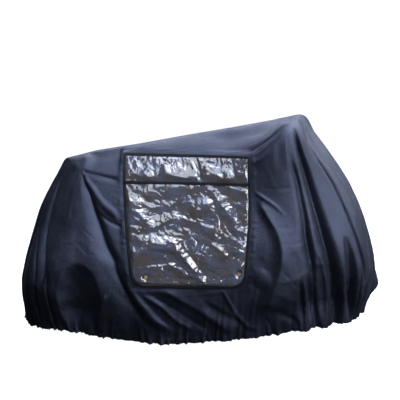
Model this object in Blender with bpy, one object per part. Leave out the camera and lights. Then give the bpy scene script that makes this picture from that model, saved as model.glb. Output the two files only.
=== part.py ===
"""A fitted cycle cover of black coated cloth, with a clear window pocket on its near side.

The cover hangs as it does in use: drawn over two peaks, open below, and gathered at its hem. It
is one skin, cut into three panels by two upright seams. The skin is a smooth surface through
section lines: each runs from the ridge down over a shoulder, a flank and a belly to the hem, and
the lines follow one another all the way round. Folds are then pressed into the skin, and the
columns of each panel's grid follow the main ones.

Lengths are in metres. While the cover is drawn, x runs from the rear to the front with 0 at
mid-length, y is 0 on the centre plane with the pocket's side at negative y, and z is 0 at the
hem's lowest point. One empty then carries the whole cover, so that the origin is the point
under the cloth where the front peak holds it up.
"""

from collections import Counter, namedtuple
import math

import bmesh
import bpy
from mathutils import Vector
from mathutils.bvhtree import BVHTree
import numpy as np

# Driving dimensions
CLOTH = 0.002
WINDOW = 0.001
GAP = 0.0003
FRONT_PEAK = (0.465, 0.0, 1.045)

# One section line of the skin: how far round it stands, then its points as (x, half-width, z).
# "around" is measured along the belly: it equals x on the long sides and runs on round the ends.
Section = namedtuple("Section", "around ridge shoulder flank belly hem")
SECTIONS = (
    Section(-1.12, (-0.645, 0, 0.842), (-0.693, 0, 0.770), (-0.795, 0, 0.570),
            (-0.880, 0, 0.240), (-0.875, 0, 0.040)),
    Section(-0.95, (-0.645, 0, 0.842), (-0.650, 0.050, 0.795), (-0.745, 0.120, 0.560),
            (-0.840, 0.170, 0.240), (-0.825, 0.140, 0.038)),
    Section(-0.78, (-0.645, 0, 0.842), (-0.585, 0.080, 0.815), (-0.655, 0.190, 0.550),
            (-0.725, 0.260, 0.260), (-0.700, 0.210, 0.045)),
    Section(-0.55, (-0.500, 0, 0.878), (-0.500, 0.095, 0.838), (-0.530, 0.220, 0.580),
            (-0.550, 0.300, 0.280), (-0.535, 0.240, 0.030)),
    Section(-0.30, (-0.300, 0, 0.910), (-0.300, 0.110, 0.868), (-0.300, 0.235, 0.620),
            (-0.290, 0.315, 0.300), (-0.280, 0.270, 0.000)),
    Section(-0.05, (-0.050, 0, 0.955), (-0.050, 0.140, 0.900), (-0.050, 0.250, 0.630),
            (-0.050, 0.320, 0.300), (-0.050, 0.280, 0.002)),
    Section(0.17, (0.170, 0, 0.992), (0.170, 0.175, 0.935), (0.170, 0.270, 0.660),
            (0.165, 0.330, 0.320), (0.165, 0.285, 0.022)),
    Section(0.45, (0.455, 0, 1.044), (0.460, 0.250, 1.018), (0.450, 0.305, 0.700),
            (0.450, 0.335, 0.330), (0.440, 0.280, 0.058)),
    Section(0.72, (0.475, 0, 1.050), (0.530, 0.170, 0.970), (0.660, 0.220, 0.700),
            (0.720, 0.270, 0.340), (0.690, 0.220, 0.075)),
    Section(0.93, (0.475, 0, 1.050), (0.540, 0.080, 0.965), (0.720, 0.120, 0.690),
            (0.830, 0.150, 0.330), (0.785, 0.130, 0.095)),
    Section(1.10, (0.475, 0, 1.050), (0.550, 0, 0.970), (0.750, 0, 0.680),
            (0.855, 0, 0.320), (0.820, 0, 0.125)),
)
# Where the five points stand on the way down, and how much of the roof's first fall is kept
DOWN = np.array((0.0, 0.2, 0.5, 0.8, 1.0))
ROOF_FALL = 0.2
REAR_MIDDLE = SECTIONS[0].around
FRONT_MIDDLE = SECTIONS[-1].around
ROUND = 2 * (FRONT_MIDDLE - REAR_MIDDLE)

# The front peak is turned a little to one side. The turn fades out lower down and to the rear.
FRONT_TURN = math.radians(13)
TURN_HEIGHTS = (0.55, 0.95)
TURN_LENGTHS = (0.05, 0.45)

# A place where something hard under the cloth lifts it to a point
Peak = namedtuple("Peak", "x y z reach lift")
PEAKS = (
    Peak(0.402, -0.250, 1.015, 0.045, 0.016),
    Peak(0.510, 0.250, 1.015, 0.045, 0.012),
    Peak(-0.585, -0.080, 0.812, 0.035, 0.010),
    Peak(-0.585, 0.080, 0.812, 0.035, 0.010),
    Peak(0.842, -0.030, 0.225, 0.040, 0.060),
    Peak(0.835, -0.030, 0.150, 0.040, 0.040),
)
PEAK_BLUNTNESS = 0.012

# A fold lies on the near or the far side and runs down or along the skin, by its path of
# (around, down) points, where down is the share of the way from ridge to hem. Its rims stand
# before and after the path, by half-widths that change evenly from the path's start to its end.
# The fold is pressed in by its depth, or stands out where the depth is negative.
Fold = namedtuple("Fold", "name side runs path before after depth")
FOLDS = (
    # The near side's front: the fan from the peak, and the long drop from it
    Fold("upper draw", "near", "along", ((0.19, 0.300), (0.25, 0.290), (0.33, 0.240), (0.43, 0.195)),
         (0.034, 0.012), (0.030, 0.012), 0.019),
    Fold("lower draw", "near", "along", ((0.24, 0.365), (0.33, 0.300), (0.42, 0.235)),
         (0.026, 0.012), (0.026, 0.012), 0.014),
    Fold("great drop", "near", "down", ((0.48, 0.21), (0.55, 0.30), (0.568, 0.48), (0.573, 0.60),
         (0.59, 0.70), (0.61, 0.80), (0.635, 0.90), (0.685, 1.0)),
         (0.018, 0.030), (0.034, 0.070), 0.050),
    Fold("second drop", "near", "down", ((0.465, 0.34), (0.475, 0.42), (0.487, 0.50), (0.483, 0.60),
         (0.49, 0.70), (0.51, 0.80), (0.527, 0.90), (0.543, 1.0)),
         (0.016, 0.030), (0.024, 0.038), 0.030),
    Fold("hollow", "near", "down", ((0.25, 0.44), (0.285, 0.55), (0.315, 0.60), (0.345, 0.70),
         (0.35, 0.78), (0.33, 0.85), (0.30, 0.94)), (0.022, 0.060), (0.020, 0.044), 0.045),
    Fold("tear", "near", "down", ((0.69, 0.60), (0.69, 0.72), (0.69, 0.80), (0.71, 0.89), (0.74, 1.0)),
         (0.014, 0.030), (0.016, 0.036), 0.026),
    Fold("nose drop", "near", "down", ((0.75, 0.26), (0.74, 0.40), (0.725, 0.50), (0.72, 0.60),
         (0.765, 0.68), (0.79, 0.74), (0.81, 0.88)), (0.024, 0.034), (0.030, 0.048), 0.024),
    # The near side's rear: the drop to the pocket's corner, its crest, and the sag behind it
    Fold("corner drop", "near", "down", ((-0.63, 0.30), (-0.557, 0.40), (-0.455, 0.52),
         (-0.42, 0.60), (-0.367, 0.70), (-0.35, 0.75), (-0.33, 0.86)),
         (0.030, 0.034), (0.028, 0.034), 0.046),
    Fold("corner crest", "near", "down", ((-0.65, 0.33), (-0.53, 0.50), (-0.47, 0.60), (-0.44, 0.70),
         (-0.37, 0.80), (-0.285, 0.86), (-0.21, 0.91), (-0.155, 0.96)),
         (0.030, 0.036), (0.022, 0.026), -0.016),
    Fold("sag", "near", "down", ((-0.60, 0.69), (-0.57, 0.80), (-0.55, 0.95)),
         (0.090, 0.110), (0.070, 0.110), 0.040),
    Fold("heel drop", "near", "down", ((-0.93, 0.25), (-0.89, 0.40), (-0.88, 0.46), (-0.85, 0.56),
         (-0.84, 0.63), (-0.81, 0.71), (-0.80, 0.86)), (0.022, 0.028), (0.024, 0.032), 0.026),
    Fold("tail drop", "near", "down", ((-0.97, 0.48), (-0.93, 0.62), (-0.90, 0.70), (-0.87, 0.80),
         (-0.88, 0.90), (-0.89, 1.0)), (0.026, 0.036), (0.022, 0.030), 0.026),
    # The near side, under the pocket
    Fold("first swag", "near", "along", ((-0.28, 0.815), (-0.165, 0.87), (-0.07, 0.91), (0.03, 0.96)),
         (0.030, 0.034), (0.028, 0.034), 0.028),
    Fold("second swag", "near", "along", ((0.00, 0.865), (0.05, 0.91), (0.13, 0.945), (0.21, 0.985)),
         (0.028, 0.030), (0.024, 0.026), 0.018),
    # The far side
    Fold("far great drop", "far", "down", ((0.47, 0.22), (0.51, 0.50), (0.55, 0.75), (0.60, 1.0)),
         (0.024, 0.060), (0.020, 0.040), 0.044),
    Fold("far hollow", "far", "down", ((0.37, 0.28), (0.31, 0.55), (0.28, 0.80), (0.29, 1.0)),
         (0.024, 0.050), (0.020, 0.044), 0.036),
    Fold("far nose drop", "far", "down", ((0.66, 0.28), (0.78, 0.52), (0.84, 0.76), (0.86, 1.0)),
         (0.026, 0.044), (0.024, 0.050), 0.030),
    Fold("far sway", "far", "down", ((-0.05, 0.45), (0.00, 0.70), (-0.03, 1.0)),
         (0.060, 0.080), (0.050, 0.060), 0.026),
    Fold("far corner drop", "far", "down", ((-0.58, 0.24), (-0.49, 0.45), (-0.41, 0.70), (-0.36, 1.0)),
         (0.026, 0.050), (0.022, 0.044), 0.044),
    Fold("far heel drop", "far", "down", ((-0.66, 0.26), (-0.70, 0.50), (-0.72, 0.74), (-0.71, 1.0)),
         (0.024, 0.044), (0.026, 0.050), 0.032),
    Fold("far tail drop", "far", "down", ((-0.90, 0.34), (-0.95, 0.60), (-0.97, 1.0)),
         (0.024, 0.040), (0.022, 0.036), 0.024),
)
FOLD_FADE = 0.16

# An upright seam, by how far round it stands at the ridge and at the hem
Seam = namedtuple("Seam", "ridge hem")
REAR_SEAM = Seam(-0.328, -0.257)
FRONT_SEAM = Seam(0.194, 0.160)

# The panels of the shell: the columns on each side of the centre plane, and the folds on each
# side that the columns follow, from the rear to the front
Panel = namedtuple("Panel", "node columns near_guides far_guides")
REAR_PANEL = Panel("shell_rear", 22, ("tail drop", "heel drop", "corner crest", "corner drop"),
                   ("far tail drop", "far heel drop", "far corner drop"))
MIDDLE_PANEL = Panel("shell_middle", 10, (), ("far sway",))
FRONT_PANEL = Panel("shell_front", 27, ("hollow", "second drop", "great drop", "nose drop"),
                    ("far hollow", "far great drop", "far nose drop"))
ROWS = 24
COLUMN_GAP = 0.006
SEAM_STRIP = 0.008

# The pocket: heights of its edges, how far its sides draw in for each metre down, its corners
POCKET_TOP = 0.862
POCKET_MOUTH = 0.790
POCKET_BOTTOM = 0.292
POCKET_REAR = -0.355
POCKET_FRONT = 0.235
REAR_DRAW = 0.080
FRONT_DRAW = 0.060
FLAP_BOTTOM = 0.752
CORNER_RADIUS = 0.055
POCKET_MARGIN = 0.045
SHEET_LIFT = 0.003
FLAP_LIFTS = (0.0028, 0.0062)
TAPE_WIDTH = 0.012
TAPE_THICK = 0.0018
TAPE_DROP = 0.0008

# The eyelets, in the pocket's two lower corners, as (around, height)
EYELETS = {"eyelet_rear": (-0.255, 0.330), "eyelet_front": (0.180, 0.350)}
EYELET_HOLE = 0.008
EYELET_BARREL = 0.0104
EYELET_FLANGE = 0.015
FLANGE_THICK = 0.0009

# Colours as linear red, green and blue, then roughness and metallic
CLOTH_LOOK = ((0.020, 0.022, 0.030), 0.48, 0.0)
WINDOW_LOOK = ((0.800, 0.820, 0.850), 0.08, 0.0)
TAPE_LOOK = ((0.010, 0.010, 0.012), 0.60, 0.0)
BRASS_LOOK = ((0.720, 0.500, 0.220), 0.30, 1.0)


def ramp(value, low, high):
    """0 below low, 1 above high, and a smooth step between."""
    share = np.clip((value - low) / (high - low), 0.0, 1.0)
    return share * share * (3 - 2 * share)


def knot_slopes(knots, rows):
    """The slope at each knot: the mean of the straight slopes beside it, the nearer weighing more.

    The knots run along the first axis of rows. The two ends take their one straight slope.
    """
    steps = np.diff(knots).reshape((-1,) + (1,) * (rows.ndim - 1))
    straight = np.diff(rows, axis=0) / steps
    inner = (straight[1:] * steps[:-1] + straight[:-1] * steps[1:]) / (steps[:-1] + steps[1:])
    return np.concatenate([straight[:1], inner, straight[-1:]])


def cubic(share, width, start, end, start_slope, end_slope):
    """The cubic from start to end over a stretch of this width, read at a share of the way."""
    rest = 1 - share
    from_start = (1 + 2 * share) * rest**2 * start + share * rest**2 * width * start_slope
    from_end = share**2 * (3 - 2 * share) * end - share**2 * rest * width * end_slope
    return from_start + from_end


def smooth_through(at, knots, rows):
    """Rows read at the places `at`, on the smooth curve through `rows` at `knots`."""
    slopes = knot_slopes(knots, rows)
    left = np.clip(np.searchsorted(knots, at, side="right") - 1, 0, len(knots) - 2)
    tail = at.shape + (1,) * (rows.ndim - 1)
    width = (knots[left + 1] - knots[left]).reshape(tail)
    share = (at - knots[left]).reshape(tail) / width
    return cubic(share, width, rows[left], rows[left + 1], slopes[left], slopes[left + 1])


def section_points(section, side):
    """The section line's five points as (x, y, z), on the near (-1) or the far (+1) side."""
    points = np.array([section.ridge, section.shoulder, section.flank, section.belly, section.hem])
    points[:, 1] *= side
    return points


def whole_round():
    """Every section line in turn, and how far round each stands: near side, then far side.

    The far side counts on from the front middle. Two lines past each end close the round.
    """
    around = [section.around for section in SECTIONS]
    lines = [section_points(section, -1) for section in SECTIONS]
    for section in SECTIONS[-2:0:-1]:
        around.append(2 * FRONT_MIDDLE - section.around)
        lines.append(section_points(section, 1))
    knots = np.array([place - ROUND for place in around[-2:]] + around
                     + [place + ROUND for place in around[:3]])
    return knots, np.array(lines[-2:] + lines + lines[:3])


ROUND_KNOTS, ROUND_LINES = whole_round()


def skin(around, down):
    """Points of the smooth skin: the section line there, read at a share of the way down.

    The ridge itself runs straight from one section to the next, so it never turns back.
    """
    lines = smooth_through(around, ROUND_KNOTS, ROUND_LINES)
    for axis in range(3):
        lines[:, 0, axis] = np.interp(around, ROUND_KNOTS, ROUND_LINES[:, 0, axis])
    slopes = np.moveaxis(knot_slopes(DOWN, np.moveaxis(lines, 1, 0)), 0, 1)
    slopes[:, 0, 2] *= ROOF_FALL
    left = np.clip(np.searchsorted(DOWN, down, side="right") - 1, 0, len(DOWN) - 2)
    each = np.arange(len(down))
    width = (DOWN[left + 1] - DOWN[left])[:, None]
    share = (down - DOWN[left])[:, None] / width
    points = cubic(share, width, lines[each, left], lines[each, left + 1],
                   slopes[each, left], slopes[each, left + 1])
    turned = ramp(points[:, 2], *TURN_HEIGHTS) * ramp(points[:, 0], *TURN_LENGTHS)
    points[:, 0] += math.tan(FRONT_TURN) * points[:, 1] * turned
    return points


def skin_normals(around, down):
    """Outward unit normals of the smooth skin, from points a little further round and down."""
    step = 0.002
    along = skin(around + step, down) - skin(around - step, down)
    below = skin(around, np.minimum(down + step, 1)) - skin(around, np.maximum(down - step, 0))
    normals = np.cross(below, along)
    normals[:, 2] += 1e-9
    return normals / np.linalg.norm(normals, axis=1, keepdims=True)


def fold_line(fold, ahead, share):
    """Where a line of the fold lies across its run, at each place ahead on its run.

    A share of -1 is the rim before the path, 0 the path itself and 1 the rim after it. Past the
    path's two ends the line stands still.
    """
    path = np.array(fold.path)
    if fold.runs == "down":
        path = path[:, ::-1]
    knots, centres = path.T
    place = np.clip(ahead, knots[0], knots[-1])
    start, end = fold.before if share < 0 else fold.after
    width = start + (end - start) * (place - knots[0]) / (knots[-1] - knots[0])
    return smooth_through(place, knots, centres[:, None])[:, 0] + share * width


def fold_depth(fold, around, down):
    """How deep this fold presses the skin at these places.

    Across its run the fold is a bump that leaves and meets the skin flat. Along it the fold
    fades in and out, but it runs out open where it ends at the hem.
    """
    if fold.side == "far":
        around = 2 * FRONT_MIDDLE - around
    middle = fold.path[len(fold.path) // 2][0]
    around = (around - middle + ROUND / 2) % ROUND - ROUND / 2 + middle
    ahead, across = (down, around) if fold.runs == "down" else (around, down)
    first, last = (fold.path[end][1 if fold.runs == "down" else 0] for end in (0, -1))
    centre = fold_line(fold, ahead, 0)
    before = centre - fold_line(fold, ahead, -1)
    after = fold_line(fold, ahead, 1) - centre
    place = np.clip((across - centre) / np.where(across < centre, before, after), -1, 1)
    fade = FOLD_FADE * (last - first)
    strength = ramp(ahead, first, first + fade)
    if not (fold.runs == "down" and last == DOWN[-1]):
        strength = strength * ramp(-ahead, -last, fade - last)
    return fold.depth * strength * (1 - place**2) ** 2


def pocket_sides(height):
    """How far round the pocket's rear and front edges stand at a height."""
    below = POCKET_TOP - height
    return POCKET_REAR + REAR_DRAW * below, POCKET_FRONT - FRONT_DRAW * below


def beyond_pocket(around, height):
    """0 where the pocket is sewn on, which keeps the cloth smooth there, and 1 away from it."""
    rear, front = pocket_sides(height)
    along = np.maximum(rear - around, around - front)
    upright = np.maximum(POCKET_BOTTOM - height, height - POCKET_TOP)
    return ramp(np.maximum(along, upright), TAPE_WIDTH, POCKET_MARGIN)


def cloth(around, down, lift=0.0):
    """Points of the folded cloth's outer face, or of what lies `lift` above it.

    The ridge line keeps to the smooth skin, so that both sides meet on it.
    """
    points = skin(around, down)
    out = np.zeros(len(around))
    for fold in FOLDS:
        out -= fold_depth(fold, around, down)
    out = out * np.where(points[:, 1] < 0, beyond_pocket(around, points[:, 2]), 1)
    for peak in PEAKS:
        away = np.linalg.norm(points - (peak.x, peak.y, peak.z), axis=1)
        out += peak.lift * np.exp(-np.hypot(away, PEAK_BLUNTNESS) / peak.reach)
    out = out * ramp(down, 0, DOWN[1] / 2) + lift
    return points + skin_normals(around, down) * out[:, None]


def cloth_normals(around, down):
    """Outward unit normals of the folded cloth, straight up along the ridge."""
    step = 0.001
    along = cloth(around + step, down) - cloth(around - step, down)
    below = cloth(around, np.minimum(down + step, 1)) - cloth(around, np.maximum(down - step, 0))
    normals = np.cross(below, along)
    normals[down == 0] = (0, 0, 1)
    return normals / np.linalg.norm(normals, axis=1, keepdims=True)


def down_at(around, height):
    """How far down the near side's section lines a height is met, by halving the stretch."""
    high = np.full(len(around), DOWN[1] / 2)
    low = np.ones(len(around))
    for _ in range(20):
        middle = (high + low) / 2
        above = skin(around, middle)[:, 2] > height
        high = np.where(above, middle, high)
        low = np.where(above, low, middle)
    return (high + low) / 2


def on_wall(places, lift):
    """Points at (around, height) places on the near side, `lift` above the cloth."""
    places = np.asarray(places, float).reshape(-1, 2)
    around, height = places.T
    return cloth(around, down_at(around, height), lift)


def material(name, look, clear=0.0):
    """A Principled material of this colour, roughness and metallic value."""
    colour, roughness, metallic = look
    made = bpy.data.materials.new(name)
    made.use_nodes = True
    shader = made.node_tree.nodes["Principled BSDF"]
    shader.inputs["Base Color"].default_value = (*colour, 1.0)
    shader.inputs["Roughness"].default_value = roughness
    shader.inputs["Metallic"].default_value = metallic
    shader.inputs["Transmission Weight"].default_value = clear
    made.diffuse_color = (*colour, 1.0)
    return made


def add_object(name, work, look, carrier):
    """An object from this bmesh, smoothly shaded, with its material, on the cover's empty."""
    mesh = bpy.data.meshes.new(name)
    work.to_mesh(mesh)
    work.free()
    mesh.shade_smooth()
    mesh.materials.append(look)
    made = bpy.data.objects.new(name, mesh)
    bpy.context.scene.collection.objects.link(made)
    made.parent = carrier
    return made


def thicken(made, thickness, outwards):
    """Gives a one-faced sheet its thickness, on the outer or the inner side of its face."""
    solid = made.modifiers.new("thickness", "SOLIDIFY")
    solid.thickness = thickness
    solid.offset = 1.0 if outwards else -1.0


def grid_facets(columns, rows, flipped):
    """Triangles over a grid of points that are numbered column by column."""
    for column in range(columns - 1):
        for row in range(rows - 1):
            first = column * rows + row
            for facet in ((first, first + 1, first + rows), (first + 1, first + rows + 1, first + rows)):
                yield facet[::-1] if flipped else facet


def joined_pair(work, pairs, outside, inside):
    """The outer and the inner vertex at a point, shared by all facets that meet there."""
    place = tuple(np.round(outside, 6))
    if place not in pairs:
        pairs[place] = (work.verts.new(outside), work.verts.new(inside))
    return pairs[place]


def seam_line(seam, down, gap):
    """How far round a seam stands at each share of the way down, with half its gap added."""
    return seam.ridge + (seam.hem - seam.ridge) * down + gap


def panel_columns(rear_edge, front_edge, guides, columns, down):
    """How far round each column of a panel stands at each row, as an array of [column, row].

    The columns take the path and the two rims of each guiding fold and are evenly spaced between
    them, with a narrow strip beside each edge. On the roof they fan out from evenly spaced
    places on the ridge.
    """
    folds = {fold.name: fold for fold in FOLDS}
    lines = [rear_edge, rear_edge + SEAM_STRIP]
    for guide in guides:
        lines += [fold_line(folds[guide], down, share) for share in (-1, 0, 1)]
    lines = np.array(lines + [front_edge - SEAM_STRIP, front_edge])
    count = np.arange(len(lines))
    apart = COLUMN_GAP * count[:, None]
    lines = np.maximum.accumulate(lines - apart, axis=0) + apart
    lines = np.minimum(lines, front_edge - apart[::-1])
    share = (lines - lines[0]).mean(axis=1)
    takes = np.round(share / share[-1] * columns)
    takes = np.maximum.accumulate(takes - count) + count
    takes = np.minimum(takes, columns - count[::-1])
    numbers = np.arange(columns + 1)
    followed = np.array([np.interp(numbers, takes, row) for row in lines.T]).T
    even = rear_edge + (front_edge - rear_edge) * (numbers / columns)[:, None]
    return even + (followed - even) * ramp(down, 0, DOWN[1])


def add_panel(panel, rear_edge, front_edge, look, carrier):
    """One panel of the shell: its near and far halves, joined along the ridge.

    The halves of an end panel also meet at the middle of that end, where the section lines
    stand at the same place on both sides.
    """
    down = np.linspace(0, 1, ROWS + 1)
    edges = np.broadcast_to(rear_edge, down.shape), np.broadcast_to(front_edge, down.shape)
    near = panel_columns(*edges, panel.near_guides, panel.columns, down)
    far = 2 * FRONT_MIDDLE - panel_columns(*edges, panel.far_guides, panel.columns, down)
    everywhere = np.tile(down, panel.columns + 1)
    work = bmesh.new()
    pairs = {}
    outlines = Counter()
    for around, flipped in ((near, False), (far, True)):
        outer = cloth(around.ravel(), everywhere)
        inner = outer - CLOTH * cloth_normals(around.ravel(), everywhere)
        for facet in grid_facets(panel.columns + 1, ROWS + 1, flipped):
            corners = [joined_pair(work, pairs, outer[number], inner[number]) for number in facet]
            if len(set(corners)) == 3:
                work.faces.new([outside for outside, inside in corners])
                work.faces.new([inside for outside, inside in corners[::-1]])
                outlines.update(zip(corners, corners[1:] + corners[:1]))
    for start, end in outlines:
        if (end, start) in outlines:
            continue
        lower, higher = (end, start) if start[0].co.z > end[0].co.z else (start, end)
        work.faces.new((end[0], start[0], higher[1]))
        work.faces.new((lower[0], start[1], end[1]))
    add_object(panel.node, work, look, carrier)


def add_shell(look, carrier):
    """The rear, middle and front panels, a seam's gap apart."""
    down = np.linspace(0, 1, ROWS + 1)
    rear_seam = seam_line(REAR_SEAM, down, 0)
    front_seam = seam_line(FRONT_SEAM, down, 0)
    half_gap = GAP / 2
    add_panel(REAR_PANEL, REAR_MIDDLE, rear_seam - half_gap, look, carrier)
    add_panel(MIDDLE_PANEL, rear_seam + half_gap, front_seam - half_gap, look, carrier)
    add_panel(FRONT_PANEL, front_seam + half_gap, FRONT_MIDDLE, look, carrier)


def pocket_places(columns, rows):
    """The pocket sheet's grid of (around, height) places, with its lower corners rounded off."""
    straight = np.linspace(POCKET_MOUTH, POCKET_BOTTOM + CORNER_RADIUS, rows[0] + 1)
    turn = np.linspace(0, math.pi / 2, rows[1] + 1)[1:]
    heights = np.concatenate([straight, POCKET_BOTTOM + CORNER_RADIUS * (1 - np.sin(turn))])
    insets = np.concatenate([np.zeros(rows[0] + 1), CORNER_RADIUS * (1 - np.cos(turn))])
    rear, front = pocket_sides(heights)
    share = np.linspace(0, 1, columns + 1)[:, None]
    around = (rear + insets) * (1 - share) + (front - insets) * share
    return np.stack([around, np.broadcast_to(heights, around.shape)], axis=-1)


def flap_places(columns, rows):
    """The flap's grid of (around, height) places."""
    heights = np.linspace(POCKET_TOP, FLAP_BOTTOM, rows + 1)
    rear, front = pocket_sides(heights)
    share = np.linspace(0, 1, columns + 1)[:, None]
    around = rear * (1 - share) + front * share
    return np.stack([around, np.broadcast_to(heights, around.shape)], axis=-1)


def sheet_lift(height):
    """The pocket sheet lies evenly on the cloth."""
    return np.full_like(height, SHEET_LIFT)


def flap_lift(height):
    """The flap lies on the cloth where it is sewn, and over the pocket's mouth lower down."""
    low, high = FLAP_LIFTS
    return low + (high - low) * ramp(-height, -POCKET_TOP, -POCKET_MOUTH)


def outward_steps(path, closed):
    """At each point of a path of places, a unit step to its left-hand side."""
    if closed:
        ahead, behind = np.roll(path, -1, axis=0), np.roll(path, 1, axis=0)
    else:
        ahead = np.concatenate([path[1:], path[-1:]])
        behind = np.concatenate([path[:1], path[:-1]])
    way = ahead - behind
    way /= np.linalg.norm(way, axis=1, keepdims=True)
    return np.stack([way[:, 1], -way[:, 0]], axis=1)


def add_tape(name, path, closed, lift, look, carrier):
    """A flat band along the outer side of a path of places, as far above the cloth as its sheet."""
    steps = outward_steps(path, closed)
    inner = path + steps * GAP * 1.5
    outer = path + steps * TAPE_WIDTH
    lifts = lift(path[:, 1]) - TAPE_DROP
    work = bmesh.new()
    inner_verts = [work.verts.new(point) for point in on_wall(inner, lifts)]
    outer_verts = [work.verts.new(point) for point in on_wall(outer, lifts)]
    pairs = list(zip(inner_verts, outer_verts))
    ends = pairs[1:] + pairs[:1] if closed else pairs[1:]
    for (inner_a, outer_a), (inner_b, outer_b) in zip(pairs, ends):
        work.faces.new((inner_a, outer_a, outer_b, inner_b))
    bmesh.ops.triangulate(work, faces=work.faces)
    thicken(add_object(name, work, look, carrier), TAPE_THICK, outwards=True)


def add_sheet(name, places, lift, look, carrier):
    """A clear sheet over a grid of places."""
    columns, rows, _ = places.shape
    flat = places.reshape(-1, 2)
    work = bmesh.new()
    verts = [work.verts.new(point) for point in on_wall(flat, lift(flat[:, 1]))]
    for facet in grid_facets(columns, rows, False):
        work.faces.new([verts[number] for number in facet])
    sheet = add_object(name, work, look, carrier)
    thicken(sheet, WINDOW, outwards=True)
    return sheet


def eyelet_profile():
    """Half of an eyelet's section as (radius, height) points, height 0 at the sheet's inner face."""
    hole, barrel, flange = EYELET_HOLE / 2, EYELET_BARREL / 2, EYELET_FLANGE / 2
    back, front = -GAP, WINDOW + GAP
    chamfer = FLANGE_THICK / 3
    return (
        (hole, back - FLANGE_THICK),
        (flange, back - FLANGE_THICK),
        (flange, back),
        (barrel, back),
        (barrel, front),
        (flange, front),
        (flange, front + FLANGE_THICK - chamfer),
        (flange - chamfer, front + FLANGE_THICK),
        (hole + chamfer, front + FLANGE_THICK),
        (hole, front + FLANGE_THICK - chamfer),
    )


def flat_on(sheet, place):
    """Where an eyelet sits on the inner face of the sheet, and the turn that faces it outwards."""
    corners = [vertex.co for vertex in sheet.data.vertices]
    facets = [facet.vertices for facet in sheet.data.polygons]
    point, outward, _, _ = BVHTree.FromPolygons(corners, facets).find_nearest(
        on_wall(place, SHEET_LIFT)[0])
    return point, outward.to_track_quat("Z", "Y")


def add_eyelet(name, sheet, place, look, carrier):
    """A brass eyelet: its profile turned all the way round, set square to the sheet."""
    work = bmesh.new()
    ring = [work.verts.new((radius, 0, height)) for radius, height in eyelet_profile()]
    edges = [work.edges.new((ring[i - 1], ring[i])) for i in range(len(ring))]
    bmesh.ops.spin(work, geom=ring + edges, cent=(0, 0, 0), axis=(0, 0, 1),
                   angle=math.tau, steps=20, use_merge=True)
    bmesh.ops.remove_doubles(work, verts=work.verts, dist=1e-6)
    bmesh.ops.recalc_face_normals(work, faces=work.faces)
    made = add_object(name, work, look, carrier)
    made.data.set_sharp_from_angle(angle=math.radians(35))
    made.rotation_mode = "QUATERNION"
    made.location, made.rotation_quaternion = flat_on(sheet, place)


def cut_eyelet_hole(sheet, name, place, look, carrier):
    """The hole that the eyelet's barrel passes through, cut square through the sheet."""
    work = bmesh.new()
    radius = EYELET_BARREL / 2 + GAP
    bmesh.ops.create_cone(work, cap_ends=True, segments=20, radius1=radius, radius2=radius,
                          depth=10 * WINDOW)
    cutter = add_object(name + "_hole", work, look, carrier)
    cutter.rotation_mode = "QUATERNION"
    cutter.location, cutter.rotation_quaternion = flat_on(sheet, place)
    cutter.hide_render = True
    cutter.display_type = "WIRE"
    cut = sheet.modifiers.new(name + "_hole", "BOOLEAN")
    cut.operation = "DIFFERENCE"
    cut.object = cutter


def add_pocket(window_look, tape_look, brass_look, carrier):
    """The clear sheet and its tape, the flap and its tape, and the eyelets in the corners."""
    places = pocket_places(columns=16, rows=(9, 5))
    sheet = add_sheet("pocket_sheet", places, sheet_lift, window_look, carrier)
    path = np.concatenate([places[0], places[1:-1, -1], places[-1, ::-1]])
    add_tape("pocket_tape", path, False, sheet_lift, tape_look, carrier)
    places = flap_places(columns=16, rows=5)
    add_sheet("pocket_flap", places, flap_lift, window_look, carrier)
    path = np.concatenate([places[0], places[1:-1, -1], places[-1, ::-1], places[-2:0:-1, 0]])
    add_tape("flap_tape", path, True, flap_lift, tape_look, carrier)
    for name, place in EYELETS.items():
        add_eyelet(name, sheet, place, brass_look, carrier)
        cut_eyelet_hole(sheet, name, place, brass_look, carrier)


def build():
    """Clears the scene, then makes the cover on the empty that sets its origin."""
    for old in list(bpy.data.objects):
        bpy.data.objects.remove(old, do_unlink=True)
    carrier = bpy.data.objects.new("cover", None)
    carrier.location = -Vector(FRONT_PEAK)
    bpy.context.scene.collection.objects.link(carrier)
    add_shell(material("black cloth", CLOTH_LOOK), carrier)
    add_pocket(material("clear sheet", WINDOW_LOOK, clear=0.8), material("black tape", TAPE_LOOK),
               material("brass", BRASS_LOOK), carrier)


build()
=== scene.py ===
import math
from collections import namedtuple

import bmesh
import bpy
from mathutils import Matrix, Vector
import numpy as np


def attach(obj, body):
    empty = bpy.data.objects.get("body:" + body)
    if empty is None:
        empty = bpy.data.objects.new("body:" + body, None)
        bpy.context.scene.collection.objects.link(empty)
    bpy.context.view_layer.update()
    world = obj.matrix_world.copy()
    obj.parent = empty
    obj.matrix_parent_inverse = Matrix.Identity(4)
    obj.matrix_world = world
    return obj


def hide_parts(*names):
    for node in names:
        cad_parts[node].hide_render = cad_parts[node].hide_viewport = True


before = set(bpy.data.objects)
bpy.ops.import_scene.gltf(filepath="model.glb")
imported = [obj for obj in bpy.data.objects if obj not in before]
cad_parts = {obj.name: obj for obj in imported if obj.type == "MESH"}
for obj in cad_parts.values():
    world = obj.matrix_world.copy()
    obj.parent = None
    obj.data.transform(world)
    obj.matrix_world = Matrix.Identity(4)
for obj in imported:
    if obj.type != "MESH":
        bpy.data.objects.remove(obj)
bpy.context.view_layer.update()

# ----------------------------------------
# The shell. A bag of black polyester taffeta with a waterproof coating, cut as three panels and
# joined by two upright seams. It hangs from two peaks, and its hem is turned under and gathered
# on hidden elastic. It is drawn with x from rear to front, then moved so that the origin is
# under the front peak.
FRONT_PEAK = np.array((0.465, 0.0, 1.045))

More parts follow.
